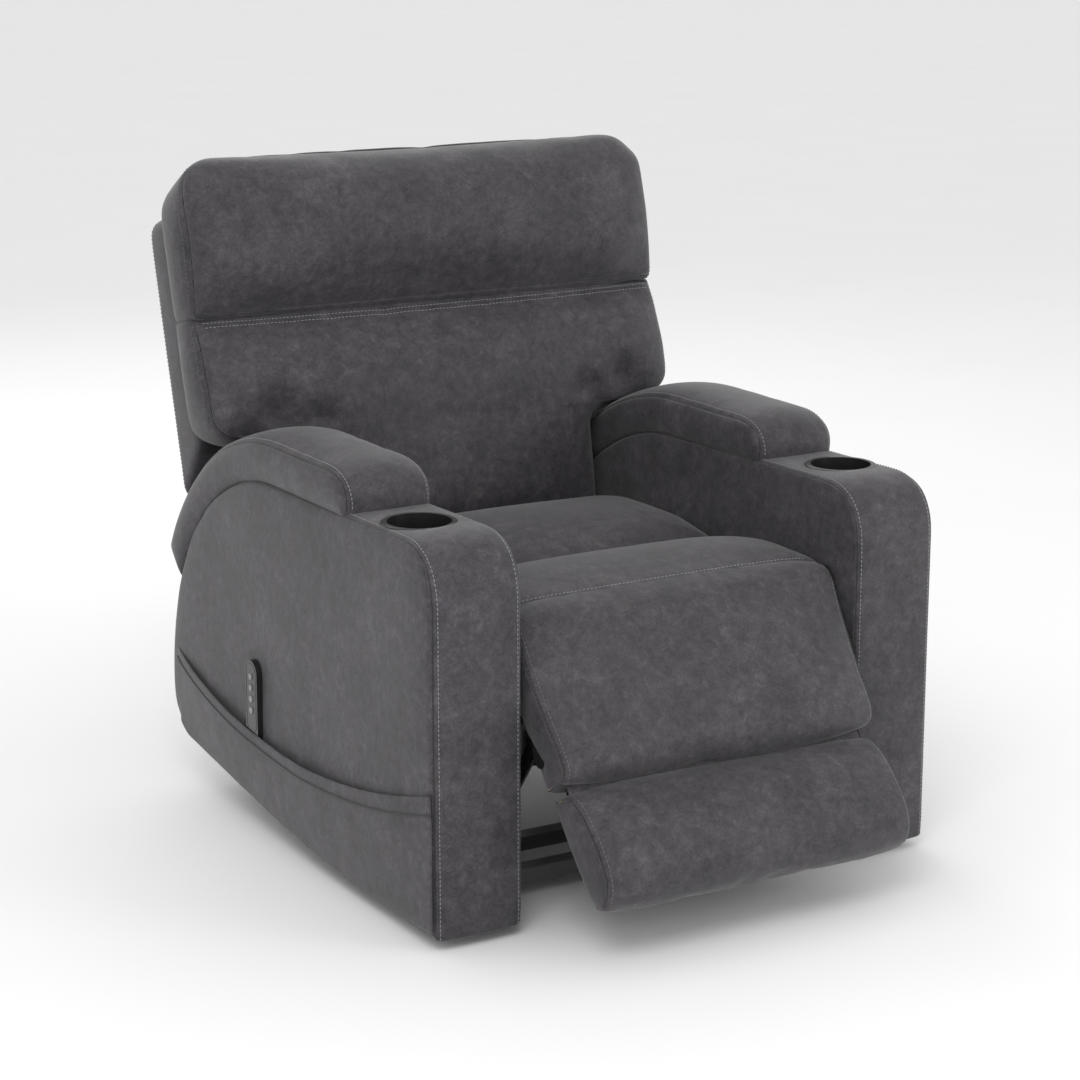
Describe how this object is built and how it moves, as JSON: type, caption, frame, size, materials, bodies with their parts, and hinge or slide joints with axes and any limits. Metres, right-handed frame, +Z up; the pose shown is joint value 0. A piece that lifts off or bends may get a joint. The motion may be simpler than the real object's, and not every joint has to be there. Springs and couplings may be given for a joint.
{
  "type": "recliner armchair",
  "caption": "Upholstered power recliner armchair with reclining back, jointed two-part footrest, cup holders in the arms, side pocket and hand remote.",
  "frame": {"origin": "on the floor, at the centre of the bounding box", "axes": "+Z up; the sitter looks along -Y; the sitter's left is +X"},
  "size_m": [0.894, 1.2161, 1.0289],
  "materials": {
    "upholstery": "matte",
    "upholstery_rear": "matte",
    "cup_plastic": "satin",
    "black_steel": "satin",
    "grey_steel": "satin",
    "bright_steel": "satin",
    "wood": "matte",
    "black_plastic": "satin",
    "remote_shell": "gloss",
    "button_grey": "satin"
  },
  "bodies": {
    "base": {"base_rails": "grey_steel", "cross_tubes": "grey_steel", "floor_glides": "black_plastic", "arm_frame_left": "wood", "arm_frame_right": "wood", "arm_outer_panel_left": "upholstery", "arm_outer_panel_right": "upholstery", "arm_inner_panel_left": "upholstery", "arm_inner_panel_right": "upholstery", "arm_band_left": "upholstery", "arm_band_right": "upholstery", "arm_pad_left": "upholstery", "arm_pad_right": "upholstery", "cup_holder_left": "cup_plastic", "cup_holder_right": "cup_plastic", "side_pocket": "upholstery", "arm_bolts": "bright_steel", "side_plate_left": "black_steel", "side_plate_right": "black_steel", "plate_legs": "black_steel", "seat_rails": "grey_steel", "seat_springs": "bright_steel", "seat_cushion_front": "upholstery", "seat_cushion_rear": "upholstery", "actuator_tube": "bright_steel", "actuator_motor": "black_plastic", "motor_bracket": "grey_steel", "power_supply": "black_plastic", "power_inlet": "black_plastic", "hinge_pins": "bright_steel"},
    "torque": {"torque_tube": "grey_steel", "crank_links": "black_steel", "slotted_lever": "black_steel"},
    "rod": {"actuator_rod": "bright_steel"},
    "coupler": {"coupler_links": "black_steel", "coupler_pins": "bright_steel"},
    "idler": {"idler_links": "black_steel"},
    "footrest": {"footrest_board": "wood", "footrest_pad": "upholstery", "footrest_brackets": "black_steel", "footrest_lugs": "black_steel"},
    "flip": {"flip_board": "wood", "flip_pad": "upholstery", "flip_arms": "black_steel"},
    "back": {"back_post_left": "wood", "back_post_right": "wood", "back_rails": "wood", "back_springs": "bright_steel", "lumbar_cushion": "upholstery", "head_cushion": "upholstery", "back_panel": "upholstery_rear", "back_side_left": "upholstery_rear", "back_side_right": "upholstery_rear", "back_brackets": "black_steel"},
    "remote": {"remote_body": "remote_shell"},
    "button_1": {"remote_button_1": "button_grey"},
    "button_2": {"remote_button_2": "button_grey"},
    "button_3": {"remote_button_3": "button_grey"},
    "button_4": {"remote_button_4": "button_grey"}
  },
  "joints": [
    {"name": "footrest_raise", "type": "hinge", "parent": "base", "child": "footrest", "pos_m": [0, -0.343, 0.437], "axis": [-1, 0, 0], "range_deg": [-35, 54]},
    {"name": "flip_turn", "type": "hinge", "parent": "footrest", "child": "flip", "pos_m": [0, -0.43477, 0.20656], "axis": [-1, 0, 0], "range_deg": [-6, 9]},
    {"name": "torque_turn", "type": "hinge", "parent": "base", "child": "torque", "pos_m": [0, -0.193, 0.237], "axis": [-1, 0, 0], "range_deg": [-36, 55]},
    {"name": "idler_turn", "type": "hinge", "parent": "base", "child": "idler", "pos_m": [0, -0.268, 0.337], "axis": [-1, 0, 0], "range_deg": [-36, 55]},
    {"name": "coupler_turn", "type": "hinge", "parent": "torque", "child": "coupler", "pos_m": [0, -0.22948, 0.07943], "axis": [-1, 0, 0], "range_deg": [-55, 36]},
    {"name": "actuator_slide", "type": "slide", "parent": "base", "child": "rod", "axis": [0, -1, 0], "range_m": [-0.034, 0.052]},
    {"name": "back_recline", "type": "hinge", "parent": "base", "child": "back", "pos_m": [0, 0.282, 0.35], "axis": [-1, 0, 0], "range_deg": [0, 38]},
    {"name": "remote_lift", "type": "slide", "parent": "base", "child": "remote", "axis": [0, 0, 1], "range_m": [0, 0.16]},
    {"name": "button_1_press", "type": "slide", "parent": "remote", "child": "button_1", "axis": [1, 0, 0], "range_m": [0, 0.001], "stiffness_N_per_m": 300},
    {"name": "button_2_press", "type": "slide", "parent": "remote", "child": "button_2", "axis": [1, 0, 0], "range_m": [0, 0.001], "stiffness_N_per_m": 300},
    {"name": "button_3_press", "type": "slide", "parent": "remote", "child": "button_3", "axis": [1, 0, 0], "range_m": [0, 0.001], "stiffness_N_per_m": 300},
    {"name": "button_4_press", "type": "slide", "parent": "remote", "child": "button_4", "axis": [1, 0, 0], "range_m": [0, 0.001], "stiffness_N_per_m": 300}
  ],
  "couplings": [
    {"joint": "flip_turn", "follows": "footrest_raise", "ratio": 0.15},
    {"joint": "torque_turn", "follows": "footrest_raise", "ratio": 1},
    {"joint": "idler_turn", "follows": "footrest_raise", "ratio": 1},
    {"joint": "coupler_turn", "follows": "footrest_raise", "ratio": -1},
    {"joint": "actuator_slide", "follows": "footrest_raise", "m_per_rad": 0.0531}
  ]
}
